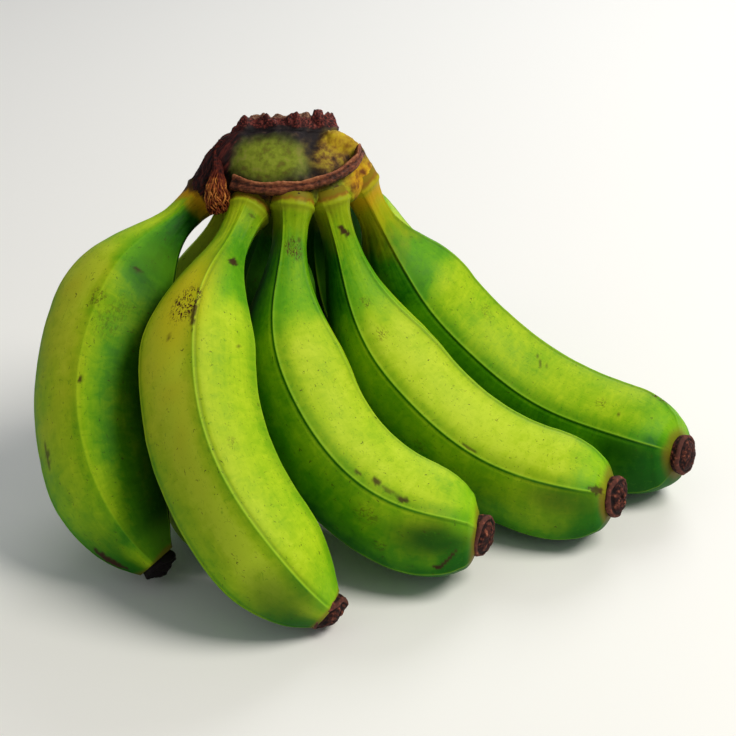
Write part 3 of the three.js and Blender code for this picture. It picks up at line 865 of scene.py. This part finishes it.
def make_button(name, number):
    lean, size = math.radians(BUTTON_LEAN.get(name, OTHER_LEAN)), BUTTON_SIZE.get(name, 1.0)
    grid, outline, rough = button_grid(finger_skins[name]["spine"], number, lean, size)
    piece = closed_skin("blossom_" + name, grid)
    everywhere = np.ones(grid.shape[:2])
    out, away = outline[:, :1] / MM, outline[:, 1:] / MM
    paint(piece, "rough", rough)
    paint(piece, "rim", ramp(out, 1.8, 2.8) * ramp(away, 7.4, 8.2) * everywhere)
    # painted shade in the groove inside the rim
    paint(piece, "groove", bell(away, 7.0, 0.6) * ramp(out, 2.5, 3.5) * everywhere)
    # painted shade: darker towards the bottom
    paint(piece, "shade_below", ramp(grid[..., 2].mean() - grid[..., 2], 0, 6 * MM))
    # painted shade: the first finger's button is painted black
    paint(piece, "old", BUTTON_SHADE.get(name, 0) * everywhere)
    stand_for(piece, "blossom_end_" + name)
    return piece


buttons = [make_button(name, number) for number, name in enumerate(FINGERS)]
print(len(buttons), "blossom ends,", len(buttons[0].data.vertices), "points each")

# %% [markdown]
# A dried flower is cork and old fibre, dead and matt. Its colour follows its relief, partly as painted shade
# and
# highlight: its hollows are purple-black and its raised parts a pale reddish brown, the rim most of all. The
# groove inside the rim and the lower half are painted darker, as painted shade, and the one on the first
# finger is painted black, as painted shade.


# %% Cork material
def make_cork():
    material, tree, shader = new_material("dried_flower_cork", 0.8)
    shader.inputs["Specular IOR Level"].default_value = 0.2
    maps = ("rough", "rim", "groove", "shade_below", "old")
    on = {n: add(tree, "ShaderNodeAttribute", {"attribute_name": n}, 2) for n in maps}
    place = add(tree, "ShaderNodeTexCoord", output=3)
    grain = add(tree, "ShaderNodeTexNoise", Vector=place, Scale=1 / (1.5 * MM), Detail=5.0, Roughness=0.65)
    # the colour follows the relief: darker in the hollows and paler on the raised parts, partly painted shade
    # and highlight
    height = add(tree, "ShaderNodeMath", {"operation": "MULTIPLY_ADD"}, _0=on["rough"], _1=0.20, _2=grain)
    stops = {0.34: "#120607", 0.50: "#2c1210", 0.62: "#54291e", 0.74: "#8a4e3a", 0.92: "#bc8466"}
    colour = add(tree, "ShaderNodeValToRGB", {"stops": stops}, Fac=height)
    # the lower half, the groove and the first finger's black button are painted shade
    layers = (
        (on["shade_below"], 0.50, "#2a1214"), (on["rim"], 0.25, "#96594a"), (on["groove"], 0.80, "#120808"),
        (on["old"], 1.0, "#120a0b"),
    )
    tree.links.new(lay_over(tree, colour, layers), shader.inputs["Base Color"])
    bump = add(tree, "ShaderNodeBump", Height=grain, Strength=0.5, Distance=0.5 * MM)
    tree.links.new(bump, shader.inputs["Normal"])
    return material


dried_flower_cork = make_cork()
for piece in buttons:
    piece.data.materials.append(dried_flower_cork)
print("cork material:", len(dried_flower_cork.node_tree.nodes), "nodes")

# %% [markdown]
# ## The crown
# The crown is the cushion of stem that all the stalks grow from. It is one lump of flesh, so a grid wound
# round a line can't follow it. Instead the CAD crown, with a plug in each finger's socket, is
# remeshed into even small faces and smoothed, which melts the collars into each other as flesh does. A
# torn strap of the bunch's stem still joins the cut to the first stalk, and it is melted in too.
# Then each point is pushed in or out by what the surface is there.

# %% Crown skin
CROWN_LEAN = math.radians(63)
crown_up = np.array([0, math.cos(CROWN_LEAN), math.sin(CROWN_LEAN)])
crown_front = np.array([0, -math.sin(CROWN_LEAN), math.cos(CROWN_LEAN)])
MELT_VOXEL = 1.1 * MM
SKIN_VOXEL = 0.55 * MM
PLUG_POINTS = 24

cad_crown = read_points(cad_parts["crown"], "co")
cut_height = (cad_crown @ crown_up).max()
cut_rim = cad_crown[cad_crown @ crown_up > cut_height - 1.0 * MM]
cut_middle = (cut_rim.min(0) + cut_rim.max(0)) / 2
cut_half_width = (cut_rim[:, 0].max() - cut_rim[:, 0].min()) / 2
print("cut face", round(2 * cut_half_width / MM), "mm across")


def add_tube(solid, rings):
    """Adds a closed tube of rings to a solid. Its ends close on their middles."""
    points = [solid.verts.new(p) for p in [*rings.reshape(-1, 3), rings[0].mean(0), rings[-1].mean(0)]]
    for face in grid_faces(*rings.shape[:2]):
        solid.faces.new([points[i] for i in face])


def add_plug(solid, spine):
    """Fills a finger's socket, so the crown is whole where the stalk's skin comes out of it."""
    centre, _, one, other = stations(spine, np.array([-5.0, -3.0, -1.0, 0.6]) * MM)
    add_tube(solid, centre[:, None] + all_round(one, other, PLUG_POINTS) * (spine["radius"][0] + 0.6 * MM))


def strap_line(spine):
    """The strap's line from the left end of the cut down to the first stalk."""
    cut_end = cut_middle - np.array([cut_half_width - 5 * MM, 0, 0]) - crown_up * 6 * MM
    stalk = spine["centre"][0] + unit(spine["centre"][2] - spine["centre"][0]) * 2.0 * MM
    knots = np.array([0, 0.5, 1.0])
    middle = (cut_end + stalk) / 2 + np.array([-1.8, 0, 0.8]) * MM + crown_front * 4 * MM
    return smooth_through(np.linspace(0, 1, 14), knots, np.array([cut_end, middle, stalk]))


def add_strap(solid, spine):
    line = strap_line(spine)
    along = unit(np.gradient(line, axis=0))
    side = unit(np.cross(along, crown_front))
    front = np.cross(side, along)
    share = np.linspace(0, 1, len(line))[:, None]
    wide, thick = (6.4 + 2.0 * share) * MM, (8.6 + 0.2 * share) * MM
    add_tube(solid, line[:, None] + all_round(side * wide, front * thick, PLUG_POINTS))


def melt(piece):
    for voxel, strength, times in ((MELT_VOXEL, 0.6, 7), (SKIN_VOXEL, 0.5, 3)):
        remesh = piece.modifiers.new("even_faces", "REMESH")
        remesh.mode = "VOXEL"
        remesh.voxel_size = voxel
        smooth = piece.modifiers.new("smooth", "SMOOTH")
        smooth.factor, smooth.iterations = strength, times
    graph = bpy.context.evaluated_depsgraph_get()
    melted = bpy.data.meshes.new_from_object(piece.evaluated_get(graph))
    piece.modifiers.clear()
    piece.data = melted
    melted.name = piece.name
    melted.shade_smooth()


def make_crown():
    solid = bmesh.new()
    solid.from_mesh(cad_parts["crown"].data)
    bmesh.ops.remove_doubles(solid, verts=solid.verts, dist=MERGE)
    for skin in finger_skins.values():
        add_plug(solid, skin["spine"])
    add_strap(solid, finger_skins["front_1"]["spine"])
    mesh = bpy.data.meshes.new("crown_skin")
    solid.to_mesh(mesh)
    solid.free()
    piece = put_in_scene("crown_skin", mesh)
    melt(piece)
    stand_for(piece, "crown")
    return piece


crown = make_crown()
print("crown skin:", len(crown.data.vertices), "points")

# %% [markdown]
# The crown has regions. On top is the cut, dry and corky, with a crumbling rim. In front, under the rim,
# is the pad where the bract sat: a green lobe on the left and a yellowing one on the right, scorched
# purple-black between and around them by dried sap. A band of painted shade runs along the crease just above
# the bract's scar, and painted shadow lies under the scar. Down the left runs the strap of maroon fibres. Low
# down, the flesh turns yellow where the stalks come out, with dark pockets of painted shade between them.
# Each region is a number on each point, from its place across the crown and its depth below the cut, in
# millimetres, and from the way it faces. Nothing needs unwrapping, and a region stays in place if the crown
# is remeshed.


# %% Crown regions
def off_stalks(points):
    """Millimetres from each point to the line of the nearest stalk."""
    nearest = np.full(len(points), np.inf)
    for skin in finger_skins.values():
        start = skin["spine"]["centre"][0]
        way = unit(skin["spine"]["centre"][2] - start)
        away = points - start
        away = away - (away @ way)[:, None] * way
        nearest = np.minimum(nearest, np.linalg.norm(away, axis=1))
    return nearest / MM


def crown_map(points, normals):
    """How far across and how deep a point is, with a wavering edge, and how much it faces front and up."""
    return {
        "across": (points[:, 0] - cut_middle[0]) / MM + lumps(points, 6 * MM, 2, 90) * 1.8,
        "depth": (cut_height - points @ crown_up) / MM + lumps(points, 5 * MM, 2, 91) * 1.3,
        "front": normals @ crown_front,
        "up": normals @ crown_up,
        "off_stalk": off_stalks(points) + lumps(points, 4 * MM, 2, 92) * 0.9,
    }


def oval(m, across, depth, half_across, half_depth, soft):
    far = np.hypot((m["across"] - across) / half_across, (m["depth"] - depth) / half_depth)
    return ramp(far, 1 + soft, 1 - soft)


def scar_depth(across):
    """How deep below the cut the bract's scar runs. It is lowest left of the middle."""
    return 33.5 - 0.0095 * (across + 6) ** 2 - 0.00006 * np.abs(across + 6) ** 3


def crown_regions(m):
    fronting = ramp(m["front"], 0.0, 0.4)
    above_scar = ramp(scar_depth(m["across"]) - m["depth"], -1.0, 1.5)
    below_scar = m["depth"] - scar_depth(m["across"])
    strap = ramp(m["across"] + 0.28 * np.clip(m["depth"] - 4, 0, 40), -16.5, -20.5) * ramp(m["depth"], 54, 46)
    return {
        "green": oval(m, -6.5, 20.5, 15.5, 8.8, 0.5) * fronting * above_scar,
        "gold": oval(m, 23, 16.5, 12.5, 9.0, 0.4) * fronting * above_scar,
        "ripe": oval(m, 24.5, 12.5, 7.0, 4, 0.6) * fronting * above_scar,
        # painted shade along the crease just above the scar
        "shade_above_scar": 0.55 * bell(below_scar, -1.2, 1.6) * fronting,
        "streak": bell(m["across"], 11.5, 2.6) * ramp(m["depth"], 24, 15) * fronting,
        "pad": oval(m, 3, 19.5, 32, 13, 0.15) * fronting * above_scar,
        "stalks": ramp(below_scar, 0.5, 4.5) * ramp(m["depth"], 14, 20),
        # painted shadow under the scar
        "under_scar": bell(below_scar, 2.2, 3.4) * ramp(m["depth"], 14, 20),
        # painted shade in the pockets between the stalks
        "pocket": ramp(m["off_stalk"], 9.6, 11.6) * ramp(below_scar, 0, 3) * ramp(m["depth"], 14, 20),
        "orange": oval(m, 35, 27, 8, 9, 0.5) + 0.9 * oval(m, -45, 42, 7, 7, 0.5),
        "strap": strap,
        "cork": np.maximum(ramp(m["depth"], 5.6, 4.6), ramp(m["up"], 0.75, 0.9) * ramp(m["depth"], 9, 6)),
        "cut": ramp(m["up"], 0.8, 0.95) * ramp(m["depth"], 4, 2),
    }


skin_normals = read_points(crown, "normal")
skin_points = read_points(crown, "co")
crown_place = crown_map(skin_points, skin_normals)
regions = crown_regions(crown_place)
for name, values in regions.items():
    paint_points(crown, name, values)
print("crown regions:", {name: round(float(v.mean()), 2) for name, v in regions.items()})

# %% [markdown]
# The relief follows the regions: the rim of the cut crumbles into knobs, with a groove under it, the pad is
# full, and the strap is drawn out into fibres. Bump in the material would not change the outline, where the
# knobs show most, so the points themselves are moved.

# %% Crown relief
line = strap_line(finger_skins["front_1"]["spine"])
strap_along = unit(line[-1] - line[0])
strap_side = unit(np.cross(strap_along, crown_front))


def along_strap(points):
    """Places measured across, through and along the strap, so that a pattern can be drawn out along it."""
    return np.stack([points @ strap_side, points @ crown_front, points @ strap_along * 0.15], axis=-1)


def push(points, normals, m, r):
    """Where each point of the crown goes: a lumpy rim, a groove under it, a full pad and fibres."""
    crumbs = np.clip(lumps(points * np.array([1, 0.6, 0.6]), 4.6 * MM, 2, 70) * 2.0 + 0.3, 0, 1)
    rim = bell(m["depth"], 2.6, 2.2)
    height = rim * (2.0 * crumbs - 0.6)
    height -= 0.9 * bell(m["depth"], 6.6, 1.2)
    right = ramp(m["across"], 13, 21)
    shoulder = 3.4 * bell(m["depth"], 9.0, 4.6) - 0.8 * ramp(m["depth"], 5, 3)
    height += right * shoulder * ramp(normals @ crown_up, 0.9, 0.5)
    height += 1.2 * r["pad"] * (1 - 0.6 * bell(m["across"], 11, 3.0))
    height += r["cut"] * lumps(points, 4 * MM, 3, 71) * 0.8
    strands = along_strap(points)
    height += r["strap"] * (lumps(strands, 1.3 * MM, 2, 72) * 0.6 + lumps(strands, 3.5 * MM, 1, 75) * 0.7)
    height += lumps(points, 1.6 * MM, 2, 73) * (0.08 + 0.25 * r["cork"])
    height += lumps(points, 9 * MM, 1, 74) * 0.4 * (1 - r["stalks"])
    knobs = 2.6 + 1.0 * bell(m["across"], 15, 5) - 1.8 * ramp(m["across"], -15, -19)
    knobs = knobs * crumbs * ramp(m["depth"], 4.5, 0.5)
    knobs = knobs * ramp(np.abs(normals @ crown_up - 0.5), 0.75, 0.2)
    return points + normals * (height * MM)[:, None] + crown_up * (knobs * MM)[:, None]


moved = push(skin_points, skin_normals, crown_place, regions)
paint_points(crown, "along_strap", along_strap(skin_points))
crown.data.vertices.foreach_set("co", moved.astype(np.float32).ravel())
crown.data.update()
print("furthest that a point moved:", round(np.linalg.norm(moved - skin_points, axis=1).max() / MM, 1), "mm")

# %% [markdown]
# The crown is raw flesh that has healed over, so it is matt all over, and each region has its own colours.
# The flesh, its scorched parts and the painted shade are blotched, the strap is streaked along its
# fibres, and the cork of the cut is finely grained. Each region is one short list of colours, from the
# dark to the light of its own noise.


# %% Crown material
def make_healed_flesh():
    material, tree, shader = new_material("healed_flesh_and_cork", 0.7)
    shader.inputs["Specular IOR Level"].default_value = 0.2
    on = {n: add(tree, "ShaderNodeAttribute", {"attribute_name": n}, 2) for n in regions}
    place = add(tree, "ShaderNodeTexCoord", output=3)

    blotches = add(tree, "ShaderNodeTexNoise", Vector=place, Scale=1 / (4.0 * MM), Detail=4.0, Roughness=0.6)
    grain = add(tree, "ShaderNodeTexNoise", Vector=place, Scale=1 / (0.9 * MM), Detail=4.0, Roughness=0.6)
    drawn = add(tree, "ShaderNodeAttribute", {"attribute_name": "along_strap"}, 1)
    fibres = add(tree, "ShaderNodeTexNoise", Vector=drawn, Scale=1 / (1.1 * MM), Detail=3.0, Roughness=0.6)
    # the layers above and under the scar and in the pockets between the stalks are painted shade
    layers = (
        (1.0, blotches, ("#0d090c", "#181114", "#261c1e", "#44342a")),
        (on["green"], blotches, ("#6a681e", "#727c1e", "#7d8c20", "#889428", "#8e9236")),
        (on["gold"], blotches, ("#38240f", "#74541c", "#9a8420", "#b49e24")),
        (on["ripe"], blotches, ("#8a6410", "#b09014", "#c0a818")),
        (on["streak"], blotches, ("#120d10", "#1c1416", "#33261e")),
        (on["shade_above_scar"], blotches, ("#1c120c", "#33230f", "#5a4a1c")),
        (on["stalks"], blotches, ("#5c4c0a", "#76800c", "#889a10", "#a2a214")),
        (on["pocket"], blotches, ("#140b04", "#2c1c08", "#4e4410")),
        (on["under_scar"], blotches, ("#170a05", "#341c08", "#6e4a10")),
        (on["orange"], blotches, ("#6e3c08", "#b58408", "#ccab10")),
        (on["strap"], fibres, ("#0e0304", "#21080a", "#3a110f", "#58211a")),
        (on["cork"], grain, ("#120405", "#33100f", "#5c201b", "#8a4438")),
        (on["cut"], grain, ("#3d2219", "#6e4938", "#9a7455")),
    )
    colour = "#261c1e"
    for mask, source, hexes in layers:
        stops = dict(zip(np.linspace(0.34, 0.66, len(hexes)).tolist(), hexes))
        layer = add(tree, "ShaderNodeValToRGB", {"stops": stops}, Fac=source)
        colour = add(tree, "ShaderNodeMix", {"data_type": "RGBA"}, 2, _0=mask, _6=colour, _7=layer)
    tree.links.new(colour, shader.inputs["Base Color"])
    bump = add(tree, "ShaderNodeBump", Height=grain, Strength=0.25, Distance=0.4 * MM)
    tree.links.new(bump, shader.inputs["Normal"])
    return material


healed_flesh = make_healed_flesh()
crown.data.materials.append(healed_flesh)
print("crown material:", len(healed_flesh.node_tree.nodes), "nodes")

# %% [markdown]
# ## Bract scar
# When the flower was young a big leathery bract covered it. It fell and left its scar as a dry ridge
# round the crown's front, with a curled upper lip and a loose flap at its right end. The CAD solid gives the
# ridge's line. Its thickness, the lip, the furrow under it and the wrinkles are given in the section here.

# %% Bract scar
SCAR_ROWS = 260
SCAR_POINTS = 48
SCAR_LIP, SCAR_FURROW = math.radians(38), math.radians(74)  # round the section, from its top to the front


def scar_grid(spine):
    at = np.linspace(0, spine["length"], SCAR_ROWS)
    share = at / spine["length"]
    centre, _, up, front = stations(spine, at)
    turn = np.linspace(0, 2 * math.pi, SCAR_POINTS, endpoint=False)
    tall = 2.3 + 0.3 * np.sin(9 * share) - 0.8 * ramp(share, 0.8, 1) + 0.9 * ramp(share, 0.12, 0)
    deep = 2.2 * ramp(share, -0.08, 0.1) * ramp(share, 1.05, 0.9)
    tall, deep = tall[:, None] * MM, deep[:, None] * MM
    lip = bell(turn, SCAR_LIP, 0.30)[None] * (1.1 + 0.5 * np.sin(23 * share)[:, None]) * MM
    furrow = bell(turn, SCAR_FURROW, 0.24)[None] * 0.5 * MM
    reach_up = np.cos(turn)[None] * (tall + lip - furrow)
    reach_front = np.sin(turn)[None] * (deep + lip - furrow)
    flap = (ramp(share, 0.9, 0.985) * 2.6 * MM)[:, None] * ramp(np.cos(turn), 0.2, 0.9)[None]
    grid = centre[:, None] + up[:, None] * (reach_up + flap)[..., None]
    grid = grid + front[:, None] * reach_front[..., None]
    out = unit(grid - centre[:, None])
    creases = lumps(grid * np.array([1.0, 0.5, 0.5]), 1.6 * MM, 2, 80) * 0.22
    creases = creases + lumps(grid, 8 * MM, 1, 81) * 0.45
    return grid + out * (creases * MM)[..., None], creases, turn


scar_spine = spine_of("bract_scar", 2, crown_up)
scar_spine["ridge"][:] = crown_up  # the band stands upright all along
grid, creases, turn = scar_grid(scar_spine)
scar = closed_skin("bract_scar_skin", grid)
paint(scar, "creases", creases)
# painted light and shade round the section: a painted highlight on the upper lip, painted shade in the furrow
# under it and on the lower and back side
lip_light_and_shade = bell(turn, SCAR_LIP, 0.22) - 0.35 * bell(turn, math.radians(70), 0.2) - 0.5 * ramp(turn, 2.0, 2.7)
paint(scar, "lip", lip_light_and_shade[None] * np.ones((SCAR_ROWS, 1)))
stand_for(scar, "bract_scar")
print("bract scar:", round(scar_spine["length"] / MM), "mm long")

# %% [markdown]
# A dead bract is like old leather: tough, reddish brown, and polished a little where it was rubbed. Its
# colour follows its creases, darker in the hollows, partly as painted shade. Its upper lip is painted paler,
# as a painted highlight, and the furrow under it and its lower side are painted darker, as painted shade. The
# grain is drawn out across the crown, as the bract's own veins were.


# %% Dried bract material
def make_bract():
    material, tree, shader = new_material("dried_bract_leather", 0.6)
    shader.inputs["Specular IOR Level"].default_value = 0.25
    on = {n: add(tree, "ShaderNodeAttribute", {"attribute_name": n}, 2) for n in ("creases", "lip")}
    place = add(tree, "ShaderNodeTexCoord", output=3)
    per_vein = (1 / (3.0 * MM), 1 / (1.2 * MM), 1 / (1.2 * MM))
    drawn = add(tree, "ShaderNodeMapping", Vector=place, Scale=per_vein)
    grain = add(tree, "ShaderNodeTexNoise", Vector=drawn, Scale=1.0, Detail=4.0, Roughness=0.65)
    # the colour follows the creases, darker in the hollows, partly as painted shade, and carries the lip's
    # painted highlight and shade
    tone = add(tree, "ShaderNodeMath", {"operation": "MULTIPLY_ADD"}, _0=on["creases"], _1=0.3, _2=grain)
    tone = add(tree, "ShaderNodeMath", {"operation": "MULTIPLY_ADD"}, _0=on["lip"], _1=0.3, _2=tone)
    stops = {0.26: "#1c0a06", 0.40: "#44200f", 0.54: "#68341f", 0.70: "#8c5030", 0.95: "#b0744c"}
    brown = add(tree, "ShaderNodeValToRGB", {"stops": stops}, Fac=tone)
    tree.links.new(brown, shader.inputs["Base Color"])
    bump = add(tree, "ShaderNodeBump", Height=grain, Strength=0.4, Distance=0.4 * MM)
    tree.links.new(bump, shader.inputs["Normal"])
    return material


dried_bract = make_bract()
scar.data.materials.append(dried_bract)
print("bract material:", len(dried_bract.node_tree.nodes), "nodes")

# %% [markdown]
# ## Dried stub
# The strap ends in a tuft of old stem fibres, like a frayed rope. A solid with a bumpy skin
# would look like a root, so it is made of separate strands. They lie close together in a neck that comes
# out of the strap, spread into a brush, and curl more towards their broken ends.

# %% Dried stub
STRANDS = 260
STRAND_ROWS = 26
STRAND_POINTS = 5
NECK_AT, BRUSH_AT = 0.40, 0.72  # shares of the stub's length
NECK, BRUSH = 0.66, 0.98  # of the width of the CAD solid
# how deep in the strap the neck starts, how far to the left of the tuft, and how far right the tuft hangs
SUNK, SUNK_LEFT, HANG_RIGHT = 7 * MM, 4.5 * MM, 2.6 * MM
STRAND_RADIUS, STRAND_EXTRA = 0.26 * MM, 0.26 * MM  # the thinnest strand's, and how much the thickest adds


def strand_grid(spine):
    rest = random.uniform(0, 1, 8)
    share = np.linspace(0.0, 0.80 + 0.16 * rest[0], STRAND_ROWS)
    at = share * spine["length"]
    centre, _, one, other = stations(spine, at)
    room = smooth_through(at, spine["distance"], spine["radius"])
    room = room * (NECK + (BRUSH - NECK) * ramp(share, NECK_AT, BRUSH_AT))
    turn = 2 * math.pi * rest[1] + 0.5 * share * (rest[2] - 0.5)
    off = math.sqrt(rest[3]) * room
    curl = (0.5 * ramp(share, 0.35, 0.6) + 0.7 * ramp(share, 0.62, 0.85)) * MM
    middle = centre + (one * np.cos(turn)[:, None] + other * np.sin(turn)[:, None]) * off[:, None]
    middle = middle + one * (curl * np.sin((18 + 16 * rest[6]) * share + 6 * rest[4]))[:, None]
    middle = middle + other * (curl * np.sin((18 + 16 * rest[7]) * share + 6 * rest[2]))[:, None]
    sunk = ramp(share, 0.45, 0.10)
    middle = middle - crown_front * (SUNK * sunk)[:, None]
    middle[:, 0] += HANG_RIGHT - SUNK_LEFT * sunk
    thick = (STRAND_RADIUS + STRAND_EXTRA * rest[5]) * (1 - 0.35 * share**3)
    return middle[:, None] + all_round(one, other, STRAND_POINTS) * thick[:, None, None]


def make_stub(spine):
    points, faces, shade = [], [], []
    for _ in range(STRANDS):
        grid = strand_grid(spine)
        faces += [tuple(i + len(points) for i in face) for face in grid_faces(STRAND_ROWS, STRAND_POINTS)]
        points += [*grid.reshape(-1, 3), grid[0].mean(0), grid[-1].mean(0)]
        share = np.linspace(0, 1, STRAND_ROWS)
        rows = np.repeat(ramp(share, 0.42, 0.75) - 0.35 * ramp(share, 0.82, 1.0), STRAND_POINTS)
        tone = rows * (0.15 + 0.50 * random.uniform(0, 1))
        shade += [*tone, tone[0], tone[-1]]
    piece = make_object("stub_strands", np.array(points), faces)
    paint_points(piece, "strand", shade)
    stand_for(piece, "dried_stub")
    return piece


stub_spine = spine_of("dried_stub", 2, crown_up)
stub_spine["ridge"][:] = crown_front
stub = make_stub(stub_spine)
print("stub:", STRANDS, "strands,", round(stub_spine["length"] / MM), "mm long")

# %% [markdown]
# Dry stem fibre is like sisal: matt, dark and maroon where the strands are packed in the neck, golden brown
# where they spread, and darker again at the broken ends. Each strand is a little lighter or darker than the
# next, and a number on its points carries that into one ramp of colours.


# %% Dried fibre material
def make_fibre():
    material, tree, shader = new_material("dried_stem_fibre", 0.75)
    shader.inputs["Specular IOR Level"].default_value = 0.15
    strand = add(tree, "ShaderNodeAttribute", {"attribute_name": "strand"}, 2)
    place = add(tree, "ShaderNodeTexCoord", output=3)
    grain = add(tree, "ShaderNodeTexNoise", Vector=place, Scale=1 / (1.5 * MM), Detail=3.0)
    tone = add(tree, "ShaderNodeMath", {"operation": "MULTIPLY_ADD"}, _0=grain, _1=0.75, _2=strand)
    stops = {0.32: "#160303", 0.55: "#4a140c", 0.75: "#6a2c14", 0.95: "#924e22", 1.15: "#c07a38"}
    brown = add(tree, "ShaderNodeValToRGB", {"stops": {k / 1.2: v for k, v in stops.items()}}, Fac=tone)
    tree.links.new(brown, shader.inputs["Base Color"])
    return material


dried_fibre = make_fibre()
stub.data.materials.append(dried_fibre)
print("fibre material:", len(dried_fibre.node_tree.nodes), "nodes")
